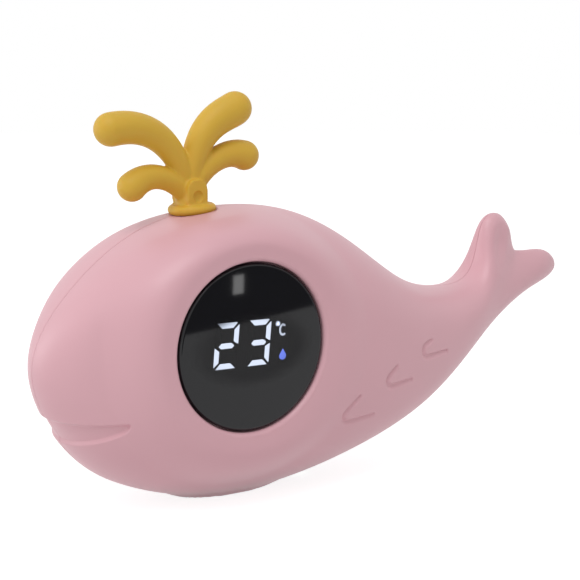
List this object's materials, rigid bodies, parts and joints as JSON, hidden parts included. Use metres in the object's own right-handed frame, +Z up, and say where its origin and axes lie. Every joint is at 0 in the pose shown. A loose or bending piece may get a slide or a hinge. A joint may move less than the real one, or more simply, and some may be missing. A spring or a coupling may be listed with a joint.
{
  "type": "baby bath thermometer",
  "caption": "Floating whale-shaped bath water thermometer with a round digital display, a silicone water spout and a belly probe.",
  "frame": {"origin": "middle of the object's box, at the flat under the belly", "axes": "+Z up, head towards -X, display faces -Y, +X along the length to the tail"},
  "size_m": [0.1383, 0.0402, 0.0827],
  "materials": {
    "body_shell": "satin moulded plastic, pink",
    "spout_silicone": "matte silicone, yellow",
    "smoked_lens": "polished clear plastic, smoked",
    "black_plastic": "fine matte, black",
    "white_plastic": "matte, white",
    "lit_segment": "translucent white, lit from behind",
    "dark_segment": "translucent, unlit",
    "blue_segment": "translucent blue, lit from behind",
    "light_chip": "clear resin over a chip",
    "circuit_board": "green board lacquer",
    "chip_resin": "moulded black resin",
    "bare_aluminium": "smooth can",
    "steel": "bright zinc or nickel plate",
    "probe_steel": "stainless, brushed",
    "cell_jacket": "plain printed jacket, unmarked",
    "seal_rubber": "soft grey rubber",
    "wire_red": "insulation, red",
    "wire_black": "insulation, black"
  },
  "bodies": {
    "root": {"front_shell": "body_shell", "rear_shell": "body_shell", "battery_door": "body_shell", "door_seal": "seal_rubber", "door_screw_1": "steel", "door_screw_2": "steel", "battery_tray": "black_plastic", "battery_cell_1": "cell_jacket", "battery_cell_2": "cell_jacket", "spring_contact": "steel", "plus_contact": "steel", "bridge_contact": "steel", "display_lens": "smoked_lens", "lens_gasket": "seal_rubber", "display_mask": "black_plastic", "tens_digit": "lit_segment", "units_digit": "lit_segment", "tens_dark_upper": "dark_segment", "tens_dark_lower": "dark_segment", "units_dark_upper": "dark_segment", "units_dark_lower": "dark_segment", "celsius_sign": "lit_segment", "water_drop": "blue_segment", "led_housing": "white_plastic", "led_chip_1": "light_chip", "led_chip_2": "light_chip", "led_chip_3": "light_chip", "main_board": "circuit_board", "control_chip": "chip_resin", "wire_connector": "white_plastic", "capacitor": "bare_aluminium", "board_screw_1": "steel", "board_screw_2": "steel", "board_screw_3": "steel", "probe_cap": "probe_steel", "thermistor": "chip_resin", "water_electrode_1": "probe_steel", "water_electrode_2": "probe_steel", "electrode_wire_1": "wire_black", "electrode_wire_2": "wire_black", "probe_wire": "wire_red", "battery_wire_1": "wire_red", "battery_wire_2": "wire_black", "water_spout": "spout_silicone"}
  },
  "joints": []
}
